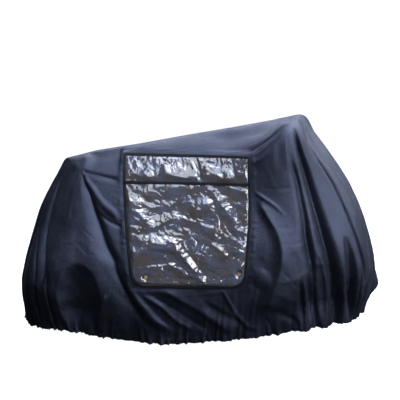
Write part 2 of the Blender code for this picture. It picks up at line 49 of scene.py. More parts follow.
# The section lines in millimetres: how far round each stands, then its points at the ridge, the
# shoulder, the flank, the belly and the hem as (x, half-width, z)
SECTIONS = (
    (-1120, (-645, 0, 842), (-693, 0, 770), (-795, 0, 570), (-880, 0, 240), (-875, 0, 40)),
    (-950, (-645, 0, 842), (-650, 50, 795), (-745, 120, 560), (-840, 170, 240), (-825, 140, 38)),
    (-780, (-645, 0, 842), (-585, 80, 815), (-655, 190, 550), (-725, 260, 260), (-700, 210, 45)),
    (-550, (-500, 0, 878), (-500, 95, 838), (-530, 220, 580), (-550, 300, 280), (-535, 240, 30)),
    (-300, (-300, 0, 910), (-300, 110, 868), (-300, 235, 620), (-290, 315, 300), (-280, 270, 0)),
    (-50, (-50, 0, 955), (-50, 140, 900), (-50, 250, 630), (-50, 320, 300), (-50, 280, 2)),
    (170, (170, 0, 992), (170, 175, 935), (170, 270, 660), (165, 330, 320), (165, 285, 22)),
    (450, (455, 0, 1044), (460, 250, 1018), (450, 305, 700), (450, 335, 330), (440, 280, 58)),
    (720, (475, 0, 1050), (530, 170, 970), (660, 220, 700), (720, 270, 340), (690, 220, 75)),
    (930, (475, 0, 1050), (540, 80, 965), (720, 120, 690), (830, 150, 330), (785, 130, 95)),
    (1100, (475, 0, 1050), (550, 0, 970), (750, 0, 680), (855, 0, 320), (820, 0, 125)),
)
DOWN = np.array((0.0, 0.2, 0.5, 0.8, 1.0))
ROOF_FALL = 0.2
REAR_MIDDLE = SECTIONS[0][0] / 1000
FRONT_MIDDLE = SECTIONS[-1][0] / 1000
ROUND = 2 * (FRONT_MIDDLE - REAR_MIDDLE)
FRONT_TURN = math.radians(13)
TURN_HEIGHTS = (0.55, 0.95)
TURN_LENGTHS = (0.05, 0.45)

# Where something hard under the cloth lifts it to a blunt point
Peak = namedtuple("Peak", "x y z reach lift blunt")
PEAKS = (
    Peak(0.402, -0.25, 1.015, 0.03, 0.01, 0.01),
    Peak(0.51, 0.25, 1.015, 0.04, 0.012, 0.01),
    Peak(-0.585, -0.08, 0.812, 0.035, 0.01, 0.01),
    Peak(-0.585, 0.08, 0.812, 0.035, 0.01, 0.01),
    Peak(0.842, -0.035, 0.222, 0.026, 0.29, 0.05),
)

# A fold runs down or along the skin by (around, down) points. Its half-widths before and after its
# path and its depth change evenly from end to end, and a negative depth stands out. A "crease"
# comes to a line, "soft" is rounded, and "sharp_before" and "sharp_after" have a crisp rim there.
# It fades in and out over a share of its run. A row gives millimetres round the cover and in
# depth, thousandths of the whole way down it, and one number where both ends are alike.
Fold = namedtuple("Fold", "side runs path before after depth shape fade", defaults=("crease", 0.16))


def folds(*rows):
    """Folds from rows. A row of two words says on which side the next ones are and how they run."""
    made = []
    for row in rows:
        if len(row) == 2:
            where = row
        else:
            pairs = (np.ones(2) * pair / 1000 for pair in row[1:4])
            made.append(Fold(*where, np.array(row[0]) / 1000, *pairs, *row[4:]))
    return made


FOLDS = folds(
    ("near", "along"),
    # The dips between the ridge and the two near corners
    (((0, 140), (200, 150), (420, 165)), (120, 100), (200, 180), (22, 32), "soft", 0.35),
    (((-660, 130), (-500, 150), (-280, 140)), 100, 180, 18, "soft", 0.35),
    # The fan from the front peak, towards the pocket
    (((200, 290), (300, 262), (370, 232), (440, 195)), (40, 16), (20, 9), (12, 7)),
    (((255, 318), (335, 284), (400, 252), (455, 212)), (12, 7), (18, 10), (-6, -5)),
    (((260, 345), (320, 328), (390, 295), (465, 232)), (12, 8), (40, 16), (-7, -5)),
    ("near", "down"),
    # The long drops from the front peak to the hem
    (((465, 190), (520, 285), (549, 370), (547, 500), (553, 600), (575, 700), (601, 800),
     (630, 910), (660, 1000)), (50, 80), (22, 62), (26, 66)),
    (((462, 330), (480, 430), (477, 530), (480, 640), (495, 710), (515, 790), (532, 890),
     (555, 1000)), (30, 70), (20, 44), (10, 52)),
    (((700, 200), (715, 400), (715, 555), (730, 640), (755, 705), (778, 760), (805, 900)),
     (40, 44), (20, 32), (12, 38)),
    # The hollow beside the pocket, which falls away from a crisp rim at its front
    (((262, 470), (305, 565), (342, 625), (362, 680), (367, 730), (356, 785), (338, 835),
     (318, 885), (305, 950)), (26, 95), (80, 200), (-12, -32)),
    # The drop to the pocket's rear corner and the crest that runs on below it
    (((-735, 235), (-625, 310), (-555, 375), (-520, 430), (-487, 495), (-457, 565), (-430, 635),
     (-402, 695), (-382, 760), (-350, 830), (-300, 900), (-240, 965)), (70, 110), (22, 56),
     (11, 36), "crease", 0.22),
    (((-450, 660), (-390, 740), (-355, 800), (-320, 840), (-270, 880), (-220, 920), (-170, 945),
     (-130, 975)), (60, 70), (30, 36), (-4, -15), "soft"),
    (((-950, 200), (-950, 280), (-930, 370), (-910, 445), (-890, 515), (-865, 575), (-835, 635),
     (-805, 690), (-790, 800)), (50, 80), (12, 24), (10, 30)),
    (((-985, 480), (-965, 540), (-930, 595), (-895, 655), (-865, 710), (-850, 775), (-845, 840),
     (-850, 960)), (34, 50), (14, 22), (9, 24)),
    ("near", "along"),
    # Swags under the pocket, each a crest with a steep face below it
    (((-230, 795), (-100, 850), (5, 895), (85, 940), (165, 975)), (90, 70), (30, 28), (-11, -12)),
    (((-290, 835), (-200, 870), (-115, 920), (-20, 960)), 18, 16, (-8, -9)),
    (((-240, 840), (-130, 882), (-50, 920), (60, 968)), (26, 24), (18, 16), (4, 6)),
    (((10, 862), (110, 910), (215, 952)), 12, (34, 30), (5, 6), "sharp_before"),
    ("far", "down"),
    # The far side
    (((470, 200), (510, 500), (550, 750), (600, 1000)), (24, 70), (16, 30), (18, 46),
     "sharp_after"),
    (((370, 280), (310, 550), (280, 800), (290, 1000)), (30, 60), (16, 34), (14, 38),
     "sharp_after"),
    (((660, 260), (780, 520), (840, 760), (860, 1000)), (26, 44), (24, 50), (14, 30), "soft"),
    (((-50, 420), (0, 700), (-30, 1000)), (60, 80), (50, 60), (12, 28), "soft"),
    (((-580, 220), (-490, 450), (-410, 700), (-360, 1000)), (22, 34), (34, 66), (16, 44),
     "sharp_before"),
    (((-660, 260), (-700, 500), (-720, 740), (-710, 1000)), (24, 50), (22, 40), (14, 32), "soft"),
    (((-900, 320), (-950, 600), (-970, 1000)), (24, 40), (22, 36), (12, 26), "soft"),
)
# A hollow with a crisp round rim, where the cloth sags inwards under a fold or tears apart into
# pleats above the hem. It leans round the cover as it falls, and a negative depth is a bulge.
Sag = namedtuple("Sag", "around down reach fall depth lean", defaults=(0.0,))
SAGS = (
    Sag(-0.575, 0.865, 0.118, 0.165, 0.036),
    Sag(0.7, 0.85, 0.034, 0.19, 0.036, 0.2),
    Sag(0.56, 0.86, 0.022, 0.14, 0.026, 0.22),
    Sag(0.473, 0.905, 0.015, 0.1, 0.028, 0.18),
    Sag(0.51, 0.9, 0.016, 0.11, 0.03, 0.14),
    Sag(0.655, 0.93, 0.014, 0.085, 0.026, 0.2),
    Sag(0.735, 0.92, 0.015, 0.095, 0.026, 0.22),
    Sag(0.775, 0.91, 0.015, 0.1, 0.026, 0.15),
    Sag(0.28, 0.796, 0.046, 0.04, -0.007, 0.3),
)
# The elastic draws the long folds level again above the hem
HEM_HOLDS = (0.9, 1.0)
HEM_SHARE = 0.5

# Smaller folds and creases that the same drape leaves between the main ones
CREASES = folds(
    ("near", "down"),
    # The ridge between the front peak's two corners, and the crest beside the longest drop
    (((452, 20), (458, 100), (463, 200)), (16, 14), (20, 16), (-6, -9), "crease", 0.1),
    (((620, 240), (665, 360), (690, 500), (700, 600), (735, 700), (765, 800), (775, 900),
     (770, 1000)), (44, 56), (40, 50), (-4, -10), "soft"),
    ("near", "along"),
    # The beak above the hollow, and press marks left by packing
    (((245, 450), (300, 490), (350, 530), (395, 575)), (12, 8), (30, 16), (-10, -6), "crease",
     0.3),
    (((290, 450), (360, 462), (440, 466)), 5, 7, (2.4, 1.8)),
    (((325, 603), (390, 618), (450, 632)), 5, 7, (2, 1.5)),
    (((345, 672), (410, 675), (465, 672)), 5, 7, 1.5),
    (((370, 770), (410, 800), (445, 840)), 8, 8, 4),
    ("near", "down"),
    (((395, 240), (400, 320), (395, 440)), (30, 36), (30, 36), 3, "soft", 0.45),
    (((430, 240), (440, 320), (438, 420)), (14, 16), (14, 18), -2, "crease", 0.45),
    # Tears between the front folds and the hem
    (((425, 880), (430, 930), (440, 1000)), (8, 12), (12, 16), (6, 12), "crease", 0.1),
    (((690, 840), (700, 920), (715, 1000)), (10, 12), (12, 16), (10, 18), "crease", 0.1),
    (((765, 820), (775, 920), (790, 1000)), (12, 16), (14, 18), (10, 20), "crease", 0.1),
    (((835, 660), (845, 780), (850, 960)), (14, 20), (16, 24), (8, 18)),
    (((900, 360), (930, 600), (940, 920)), (30, 40), (40, 50), (10, 14), "soft"),
    # The bump and the overlap under the pocket's front corner
    (((268, 820), (248, 890), (238, 960)), (12, 16), (16, 20), -6),
    (((305, 930), (325, 960), (345, 1000)), (8, 10), (10, 12), (8, 12)),
    ("near", "along"),
    (((290, 900), (365, 915), (435, 950), (485, 985)), 12, (34, 26), (8, 9), "sharp_before"),
    (((80, 795), (130, 862), (170, 912), (215, 950), (295, 975)), (20, 16), (18, 16), (-6, -8)),
    # Hairlines and crests round the rear drop
    (((-580, 530), (-530, 568), (-480, 608)), 6, 8, (2.6, 2)),
    (((-605, 590), (-555, 630), (-505, 672)), 6, 8, (2.6, 2)),
    (((-575, 600), (-525, 638), (-475, 690)), 6, 8, 1.8),
    (((-650, 680), (-610, 700), (-565, 722)), 6, 8, (2.4, 2)),
    (((-680, 258), (-545, 290), (-370, 350)), (20, 24), (26, 30), (7, 10)),
    (((-640, 295), (-525, 370), (-445, 455), (-360, 530)), (30, 34), (30, 34), (-5, -8), "soft"),
    (((-480, 480), (-420, 530), (-355, 570)), (16, 20), (18, 20), (4, 7)),
    ("near", "down"),
    (((-430, 830), (-460, 880), (-480, 920), (-495, 970)), (14, 16), (18, 20), -12),
    (((-780, 660), (-760, 800), (-755, 1000)), (16, 20), (20, 24), (6, 16)),
    (((-920, 700), (-915, 820), (-910, 1000)), (16, 20), (16, 20), (6, 16)),
    (((-1030, 280), (-1020, 600), (-1000, 940)), (20, 30), (24, 34), (8, 16)),
    ("far", "down"),
    # The far side's crests
    (((580, 240), (650, 500), (690, 750), (710, 1000)), (20, 36), (14, 20), (8, 16),
     "sharp_after"),
    (((150, 400), (120, 650), (140, 950)), (30, 40), (30, 40), (8, 16), "soft"),
    (((-230, 360), (-210, 650), (-220, 1000)), (30, 46), (22, 30), (-6, -12)),
    (((-530, 240), (-540, 500), (-520, 750), (-490, 1000)), (16, 24), (14, 18), (-4, -8)),
    ("far", "along"),
    (((-450, 300), (-200, 400), (50, 420), (280, 340)), 20, 24, 8, "soft"),
)


def ramp(value, low, high):
    """0 below low, 1 above high, and between them 3 s squared less 2 s cubed of the share s."""
    share = np.clip((value - low) / (high - low), 0.0, 1.0)
    return share * share * (3 - 2 * share)


def knot_slopes(knots, rows):
    """At each knot, the mean of the straight slopes beside it, the nearer weighing more."""
    steps = np.diff(knots).reshape((-1,) + (1,) * (rows.ndim - 1))
    straight = np.diff(rows, axis=0) / steps
    inner = (straight[1:] * steps[:-1] + straight[:-1] * steps[1:]) / (steps[:-1] + steps[1:])
    return np.concatenate([straight[:1], inner, straight[-1:]])


def cubic(share, width, start, end, start_slope, end_slope):
    """The cubic from start to end over a stretch of this width, read at a share of the way."""
    rest = 1 - share
    from_start = (1 + 2 * share) * rest**2 * start + share * rest**2 * width * start_slope
    from_end = share**2 * (3 - 2 * share) * end - share**2 * rest * width * end_slope
    return from_start + from_end


def smooth_through(at, knots, rows):
    """Rows read at the places `at`, on the piecewise cubic through `rows` at `knots`."""
    slopes = knot_slopes(knots, rows)
    left = np.clip(np.searchsorted(knots, at, side="right") - 1, 0, len(knots) - 2)
    tail = at.shape + (1,) * (rows.ndim - 1)
    width = (knots[left + 1] - knots[left]).reshape(tail)
    share = (at - knots[left]).reshape(tail) / width
    return cubic(share, width, rows[left], rows[left + 1], slopes[left], slopes[left + 1])


def whole_round():
    """Every section line in turn and how far round it stands, near side and then far side.

    The far side counts on from the front middle. Lines past both ends close the round.
    """
    around = np.array([row[0] for row in SECTIONS]) / 1000
    lines = np.array([row[1:] for row in SECTIONS]) / 1000
    around = np.concatenate([around, 2 * FRONT_MIDDLE - around[-2:0:-1]])
    lines = np.concatenate([lines * (1, -1, 1), lines[-2:0:-1]])
    knots = np.concatenate([around[-2:] - ROUND, around, around[:3] + ROUND])
    return knots, np.concatenate([lines[-2:], lines, lines[:3]])


ROUND_KNOTS, ROUND_LINES = whole_round()


def skin(around, down):
    """Points of the smooth skin: the section line there, read at a share of the way down."""
    lines = smooth_through(around, ROUND_KNOTS, ROUND_LINES)
    for axis in range(3):
        lines[:, 0, axis] = np.interp(around, ROUND_KNOTS, ROUND_LINES[:, 0, axis])
    slopes = np.moveaxis(knot_slopes(DOWN, np.moveaxis(lines, 1, 0)), 0, 1)
    slopes[:, 0, 2] *= ROOF_FALL
    left = np.clip(np.searchsorted(DOWN, down, side="right") - 1, 0, len(DOWN) - 2)
    each = np.arange(len(down))
    width = (DOWN[left + 1] - DOWN[left])[:, None]
    share = (down - DOWN[left])[:, None] / width
    points = cubic(share, width, lines[each, left], lines[each, left + 1],
                   slopes[each, left], slopes[each, left + 1])
    turned = ramp(points[:, 2], *TURN_HEIGHTS) * ramp(points[:, 0], *TURN_LENGTHS)
    points[:, 0] += math.tan(FRONT_TURN) * points[:, 1] * turned
    return points


def unit(vectors):
    """Each row of vectors at a length of 1."""
    return vectors / np.linalg.norm(vectors, axis=1, keepdims=True)


NORMAL_STEP = 0.002
# Added to a normal, so that it has a length where the section lines meet
HAIR_UP = (0, 0, 1e-9)


def normals_of(surface, around, down, step=NORMAL_STEP):
    """Outward unit normals: the cross product of small steps down and round the surface."""
    along = surface(around + step, down) - surface(around - step, down)
    above, below = (surface(around, np.clip(down + way, 0, 1)) for way in (-step, step))
    return unit(np.cross(below - above, along) + HAIR_UP)


def fold_depth(fold, around, down):
    """How deep this fold presses the skin, with s the share of its half-width: its depth times
    (1 - s squared) squared where it is soft, not squared on a sharp side, or (1 - |s|) squared
    for a crease. It fades in and out along its run, or runs out open at the hem."""
    if fold.side == "far":
        around = 2 * FRONT_MIDDLE - around
    middle = fold.path[len(fold.path) // 2][0]
    around = (around - middle + ROUND / 2) % ROUND - ROUND / 2 + middle
    runs_down = fold.runs == "down"
    ahead, across = (down, around) if runs_down else (around, down)
    knots, centres = fold.path.T[::-1] if runs_down else fold.path.T
    first, last = knots[0], knots[-1]
    away = across - smooth_through(np.clip(ahead, first, last), knots, centres[:, None])[:, 0]
    before, after, depth = (np.interp(ahead, (first, last), pair)
                            for pair in (fold.before, fold.after, fold.depth))
    place = np.clip(away / np.where(away < 0, before, after), -1, 1)
    fade = fold.fade * (last - first)
    depth = depth * ramp(ahead, first, first + fade)
    if not (runs_down and last == DOWN[-1]):
        depth = depth * ramp(-ahead, -last, fade - last)
    if fold.shape == "crease":
        return depth * (1 - np.abs(place)) ** 2
    crisp = (place < 0) if fold.shape == "sharp_before" else (place > 0)
    return depth * (1 - place**2) ** np.where(crisp & (fold.shape != "soft"), 1.0, 2.0)


# The pocket's outline, which the cloth under it keeps to
POCKET_TOP = 0.862
POCKET_BOTTOM = 0.292
POCKET_REAR = -0.355
POCKET_FRONT = 0.235
REAR_DRAW = 0.08
FRONT_DRAW = 0.06
TAPE_WIDTH = 0.012
POCKET_MARGIN = 0.045


def pocket_sides(height):
    """How far round the pocket's rear and front edges stand at a height."""
    below = POCKET_TOP - height
    return POCKET_REAR + REAR_DRAW * below, POCKET_FRONT - FRONT_DRAW * below


def sag_depth(sag, around, down):
    """How deep a hollow presses the skin: its depth times 1 - r squared, with r the distance from
    its middle as a share of its reach round the cover and of its fall down it."""
    centre = sag.around + sag.lean * (down - sag.down)
    share = ((around - centre) / sag.reach) ** 2 + ((down - sag.down) / sag.fall) ** 2
    return sag.depth * np.clip(1 - share, 0, 1)


def beyond_pocket(around, height):
    """0 where the pocket is sewn on, which keeps the cloth smooth there, and 1 away from it."""
    rear, front = pocket_sides(height)
    along = np.maximum(rear - around, around - front)
    upright = np.maximum(POCKET_BOTTOM - height, height - POCKET_TOP)
    return ramp(np.maximum(along, upright), TAPE_WIDTH, POCKET_MARGIN)


def rumple(around, down, cells_round, cells_down, slant, seed):
    """Smooth noise from -1 to 1: random heights at the corners of a grid of cells that runs
    round the cover and down it, eased between corners. The slant leans the cells."""
    table = np.random.default_rng(seed).uniform(-1, 1, (cells_round, cells_down + 8))
    place = (around - REAR_MIDDLE) / ROUND * cells_round + slant * down * cells_down
    height = down * cells_down
    column, row = np.floor(place).astype(int), np.floor(height).astype(int)
    right, below = ramp(place - column, 0, 1), ramp(height - row, 0, 1)
    column, row = column % cells_round, np.clip(row, 0, cells_down + 6)
    ahead = (column + 1) % cells_round
    top = table[column, row] * (1 - right) + table[ahead, row] * right
    bottom = table[column, row + 1] * (1 - right) + table[ahead, row + 1] * right
    return top * (1 - below) + bottom * below


# The hem's gathers: how far they stand in and out, their pitch, and how far up they reach
GATHER_DEPTH = 0.015
GATHER_PITCH = 0.028
GATHER_REACH = (0.024, 0.09)


def gathers(around, down):
    """How far the gathered hem stands out: (1 - |noise|) squared at two pitches, which makes
    narrow pleats with round backs, fading upwards at a reach that changes round the hem."""
    cells = int(ROUND / GATHER_PITCH)
    level = np.zeros_like(down)
    lean = 0.02 * rumple(around, level, cells // 4, 1, 0, 14) * (1 - down) / GATHER_REACH[1]
    wide = (1 - np.abs(rumple(around + lean, level, cells, 1, 0, 11))) ** 2
    narrow = (1 - np.abs(rumple(around - lean, level, 2 * cells, 1, 0, 12))) ** 2
    short, long = GATHER_REACH
    reach = short + (long - short) * (0.5 + 0.5 * rumple(around, level, cells // 2, 1, 0, 13)) ** 2
    fine = 0.6 * (narrow - 0.5) * np.exp(-((1 - down) / short) ** 1.3)
    return GATHER_DEPTH * ((wide - 0.5) * np.exp(-((1 - down) / reach) ** 1.3) + fine)


# Fine slack in the cloth: heights of the long waves, the short ones and the sharp wrinkles
LONG_WAVE = 0.004
SHORT_WAVE = 0.0018
WRINKLE = 0.0034
# Height of the short wrinkles that the stitching draws in beside the pocket
PUCKER = 0.0036


def slack(around, down):
    """Height of the cloth's slack: long soft waves, short ones, and slanting sharp wrinkles made
    as 1 - |noise|, raised to a power so that only their crests stand."""
    long = rumple(around, down, 26, 7, 0.15, 21)
    short = rumple(around, down, 90, 22, -0.2, 22)
    sharp = (1 - np.abs(rumple(around, down, 34, 12, 0.55, 23))) ** 7
    sharp = sharp + (1 - np.abs(rumple(around, down, 30, 11, -0.5, 24))) ** 7
    where = 0.5 + 0.5 * rumple(around, down, 14, 5, 0, 25)
    lower = 0.35 + 0.65 * ramp(down, 0.25, 0.9)
    return LONG_WAVE * long + (SHORT_WAVE * short + WRINKLE * sharp * where**2) * lower


def cloth(around, down):
    """Points of the cloth's outer face: the skin, less its folds and creases, with its peaks,
    slack and gathers. The ridge line keeps to the skin, so both sides meet on it."""
    points = skin(around, down)
    out = slack(around, down)
    pressed = sum(fold_depth(fold, around, down) for fold in FOLDS + CREASES)
    pressed += sum(sag_depth(sag, around, down) for sag in SAGS)
    out -= pressed * (1 - HEM_SHARE * ramp(down, *HEM_HOLDS))
    free = np.where(points[:, 1] < 0, beyond_pocket(around, points[:, 2]), 1)
    puckers = (1 - np.abs(rumple(around, down, 20, 70, 0, 26))) ** 3
    out = out * free + PUCKER * 4 * free * (1 - free) * puckers
    for peak in PEAKS:
        away = np.linalg.norm(points - (peak.x, peak.y, peak.z), axis=1)
        out += peak.lift * np.exp(-np.hypot(away, peak.blunt) / peak.reach)
    out = out * ramp(down, 0, DOWN[1] / 2) + gathers(around, down)
    return points + normals_of(skin, around, down) * out[:, None] - FRONT_PEAK


CLOTH_STEP = 0.0066
LONGEST_DROP = 1.05
CLOTH_THICK = 0.0012
HEM_RADIUS = 0.004
HEM_TURN = np.radians((35, 75, 115, 155, 180))
HEM_TAIL = 0.01


def cloth_rows(around, down):
    """A grid of [row, column] points from the ridge to the hem, and on round the turned-under
    hem: a half circle below the edge and inside it, and a little way back up inside."""
    places = cloth(around.ravel(), down.ravel()).reshape(around.shape + (3,))
    downwards = unit(places[-1] - places[-3])
    outwards = normals_of(skin, around[-1], down[-1])
    outwards = unit(outwards - downwards * (outwards * downwards).sum(axis=1, keepdims=True))
    swing = HEM_TURN[:, None, None]
    turned = (places[-1] + downwards * HEM_RADIUS * np.sin(swing)
              - outwards * HEM_RADIUS * (1 - np.cos(swing)))
    return np.concatenate([places, turned, turned[-1:] - downwards * HEM_TAIL])


def to_linear(code):
    """An sRGB hex colour as linear red, green, blue and alpha."""
    parts = np.array([int(code[i:i + 2], 16) / 255 for i in (0, 2, 4)])
    linear = np.where(parts <= 0.04045, parts / 12.92, ((parts + 0.055) / 1.055) ** 2.4)
    return (*linear, 1.0)


def join(tree, node, **inputs):
    """Joins or sets inputs of a node. i0 is its first one, and _ stands for a space in a name."""
    for name, value in inputs.items():
        numbered = name[0] == "i" and name[1:].isdigit()
        socket = node.inputs[int(name[1:]) if numbered else name.replace("_", " ")]
        if isinstance(value, bpy.types.NodeSocket):
            tree.links.new(value, socket)
        else:
            socket.default_value = value


def add_node(tree, kind, settings=None, **inputs):
    """Adds a node with its settings, and joins or sets its inputs."""
    node = tree.nodes.new("ShaderNode" + kind)
    for name, value in (settings or {}).items():
        setattr(node, name, value)
    join(tree, node, **inputs)
    return node


def noise(tree, places, scale, detail, roughness=0.5):
    """The grey value of a noise texture."""
    return add_node(tree, "TexNoise", Vector=places, Scale=scale, Detail=detail,
                    Roughness=roughness).outputs["Fac"]


def spread(tree, value, low, high, to_low, to_high):
    """A value read off the straight line from (low, to_low) to (high, to_high), held past both."""
    return add_node(tree, "MapRange", Value=value, From_Min=low, From_Max=high,
                    To_Min=to_low, To_Max=to_high).outputs["Result"]


def blend(tree, share, first, second):
    """A share of the way from one sRGB hex colour to another."""
    return add_node(tree, "Mix", {"data_type": "RGBA"}, i0=share, i6=to_linear(first),
                    i7=to_linear(second)).outputs[2]


def relief(tree, height, strength, distance):
    """The normal of a relief this deep: its slope times a strength."""
    return add_node(tree, "Bump", Strength=strength, Distance=distance,
                    Height=height).outputs["Normal"]


def new_material(name):
    """An empty material, with its node tree and its Principled shader."""
    made = bpy.data.materials.new(name)
    made.use_nodes = True
    return made, made.node_tree, made.node_tree.nodes["Principled BSDF"]


def polyester_taffeta():
    """Black coated polyester taffeta: plain weave of fine bright yarn with a thin sheen.

    The yarn's 0.2 mm pitch is too fine to show, so the weave is drawn at 1.6 mm. Slow changes of
    roughness give the sheen its uneven look, and the cloth is cockled between the threads.
    """
    made, tree, shader = new_material("coated_polyester_taffeta")
    places = add_node(tree, "UVMap", {"uv_map": "cut"}).outputs["UV"]
    turned = add_node(tree, "Mapping", Vector=places, Rotation=(0, 0, math.pi / 2))
    warp, weft = (add_node(tree, "TexWave", {"wave_profile": "SIN"}, Vector=way, Scale=200.0,
                           Distortion=0.6, Detail=1.0).outputs["Fac"]
                  for way in (places, turned.outputs["Vector"]))
    weave = add_node(tree, "Math", {"operation": "MULTIPLY"}, i0=warp, i1=weft).outputs["Value"]
    height = add_node(tree, "Math", {"operation": "MULTIPLY_ADD"},
                      i0=noise(tree, places, 42, 4, 0.6), i1=9.0, i2=weave).outputs["Value"]
    join(tree, shader, Base_Color=blend(tree, noise(tree, places, 70, 3), "010102", "030304"),
         Roughness=spread(tree, noise(tree, places, 9, 4), 0.3, 0.7, 0.46, 0.58),
         Normal=relief(tree, height, 0.45, 0.0005),
         Specular_IOR_Level=0.42, Specular_Tint=to_linear("C2CEF4"),
         Sheen_Weight=0.03, Sheen_Roughness=0.4, Sheen_Tint=to_linear("AEB6CC"))
    return made


def new_object(name, data):
    """An object in the scene for a mesh, a lamp or a camera."""
    made = bpy.data.objects.new(name, data)
    bpy.context.scene.collection.objects.link(made)
    return made


def mesh_object(name, points, faces, look):
    """A smooth-shaded object of one material."""
    mesh = bpy.data.meshes.new(name)
    mesh.from_pydata(points.reshape(-1, 3), [], faces)
    mesh.shade_smooth()
    mesh.materials.append(look)
    return new_object(name, mesh)


def grid_object(name, grid, cut, look):
    """An object over a [column, row] grid of points, with a UV map of its places on the cut.

    Each face joins (i, j), (i, j+1), (i+1, j+1) and (i+1, j), worked out as one array.
    """
    columns, rows, _ = grid.shape
    number = np.arange(columns * rows).reshape(columns, rows)
    faces = np.stack([number[:-1, :-1], number[:-1, 1:], number[1:, 1:], number[1:, :-1]], axis=-1)
    made = mesh_object(name, grid, faces.reshape(-1, 4).tolist(), look)
    layer = made.data.uv_layers.new(name="cut")
    layer.data.foreach_set("uv", cut.reshape(-1, 2)[faces.ravel()].ravel())
    return made


def close_doubles(made, distance=2e-5):
    """Merges the points of an object that lie together, as where a grid closes on itself."""
    work = bmesh.new()
    work.from_mesh(made.data)
    bmesh.ops.remove_doubles(work, verts=work.verts, dist=distance)
    work.to_mesh(made.data)
    work.free()


def thicken(made, thickness, offset):
    """Gives a sheet its thickness: offset -1 keeps its outer face and 1 its inner one."""
    solid = made.modifiers.new("thickness", "SOLIDIFY")
    solid.thickness = thickness
    solid.offset = offset


Seam = namedtuple("Seam", "ridge hem")
REAR_SEAM = Seam(-0.328, -0.257)
FRONT_SEAM = Seam(0.194, 0.16)
SEAM_TURN = 0.004
SEAM_GUARD = 0.12
# A panel: the seams at its edges, and its area when it lies flat
Panel = namedtuple("Panel", "node rear front area")
PANELS = (
    Panel("shell_rear", Seam(REAR_MIDDLE, REAR_MIDDLE), REAR_SEAM, 1.42),
    Panel("shell_middle", REAR_SEAM, FRONT_SEAM, 1.08),
    Panel("shell_front", FRONT_SEAM, Seam(FRONT_MIDDLE, FRONT_MIDDLE), 2.02),
)


def seam_at(seam, down):
    """How far round a seam stands at each share of the way down."""
    return seam.ridge + (seam.hem - seam.ridge) * down


def turn_edge_in(grid, cut, edge, inner):
    """Adds a column beside an edge, turned inwards as a seam allowance is, along the cross product
    of the way down the edge and the way back into the panel, and one that keeps the turn crisp."""
    down = np.gradient(grid[:, edge], axis=0)
    back = (grid[:, edge + inner] - grid[:, edge]) * inner
    column = (grid[:, edge] + unit(np.cross(down, back)) * SEAM_TURN)[:, None]
    cut_column = (cut[:, edge] - np.array((SEAM_TURN * inner, 0)))[:, None]
    turned = []
    for values, outer in ((grid, column), (cut, cut_column)):
        ends = values[:, edge][:, None], values[:, edge + inner][:, None]
        guard = ends[0] * (1 - SEAM_GUARD) + ends[1] * SEAM_GUARD
        parts = ((outer, ends[0], guard, values[:, 1:]) if inner > 0
                 else (values[:, :-1], guard, ends[0], outer))
        turned.append(np.concatenate(parts, axis=1))
    return turned


def panel_grid(panel):
    """The panel's [column, row] points and cut places, from the near hem over the ridge to the
    far hem. A cut place is how far round it stands and how far it lies from the ridge."""
    columns = int((panel.front.ridge - panel.rear.ridge) / CLOTH_STEP) + 1
    rows = int(LONGEST_DROP / CLOTH_STEP)
    down = np.linspace(0, 1, rows + 1)[:, None]
    share = np.linspace(0, 1, columns)
    rear, front = seam_at(panel.rear, down), seam_at(panel.front, down)
    around = rear * (1 - share) + front * share
    down = np.broadcast_to(down, around.shape)
    near = cloth_rows(around, down)
    far = cloth_rows(2 * FRONT_MIDDLE - around, down)
    grid = np.concatenate([near[::-1], far[1:]])
    steps = np.linalg.norm(np.diff(grid, axis=0), axis=2)
    run = np.concatenate([np.zeros((1, columns)), np.cumsum(steps, axis=0)])
    run -= run[len(near) - 1]
    across = np.pad(around, ((0, len(near) - len(around)), (0, 0)), mode="edge")
    across = np.concatenate([across[::-1], across[1:]])
    cut = np.stack([across, run], axis=-1)
    if panel.rear.ridge != REAR_MIDDLE:
        grid, cut = turn_edge_in(grid, cut, 0, 1)
    if panel.front.ridge != FRONT_MIDDLE:
        grid, cut = turn_edge_in(grid, cut, -1, -1)
    return grid.transpose(1, 0, 2), cut.transpose(1, 0, 2)


taffeta = polyester_taffeta()
for panel in PANELS:
    grid, cut = panel_grid(panel)
    shell = grid_object(panel.node + "_cloth", grid[:, ::-1], cut[:, ::-1], taffeta)
    close_doubles(shell)
    thicken(shell, CLOTH_THICK, -1.0)
    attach(shell, "root")
    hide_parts(panel.node)

# ----------------------------------------
# The pocket's clear sheet and flap. Soft clear vinyl, cut square and sewn on with tape. It has
# been folded in its bag, so it is creased all over and shines where a facet catches the light.
POCKET_MOUTH = 0.79
FLAP_BOTTOM = 0.752
CORNER_RADIUS = 0.055
SHEET_LIFT = 0.003
FLAP_LIFTS = (0.0028, 0.0062)
EYELETS = ((-0.255, 0.33), (0.18, 0.35))
VINYL_STEP = 0.003
VINYL_THICK = 0.0006
# How far the crumpled vinyl stands off the cloth, and how far from the tape, below the flap's
# edge and from an eyelet it is held down and then free
VINYL_RISE = (-0.001, 0.016)
EDGE_HOLDS = (-0.001, 0.014)
FLAP_HOLDS = (-0.03, 0.1)
EYELET_HOLDS = (0.009, 0.026)


def down_at(around, height):
    """How far down the near side's section lines a height is met, by halving the stretch."""
    high = np.full(len(around), DOWN[1] / 2)
    low = np.ones(len(around))
    for _ in range(20):
        middle = (high + low) / 2
        above = skin(around, middle)[:, 2] > height
        high = np.where(above, middle, high)
        low = np.where(above, low, middle)
    return (high + low) / 2


def on_wall(around, height, lift):
    """Points of the smooth skin on the near side, lifted off it."""
    down = down_at(around, height)
    return skin(around, down) + normals_of(skin, around, down) * lift[:, None] - FRONT_PEAK


# A crease in the vinyl: its two ends as thousandths of the sheet from its rear top corner, and in
# millimetres how far its upper and its lower face reach and how far its line stands out. The
# upper face tilts towards the sky and shines.
Crease = namedtuple("Crease", "start end above below height")


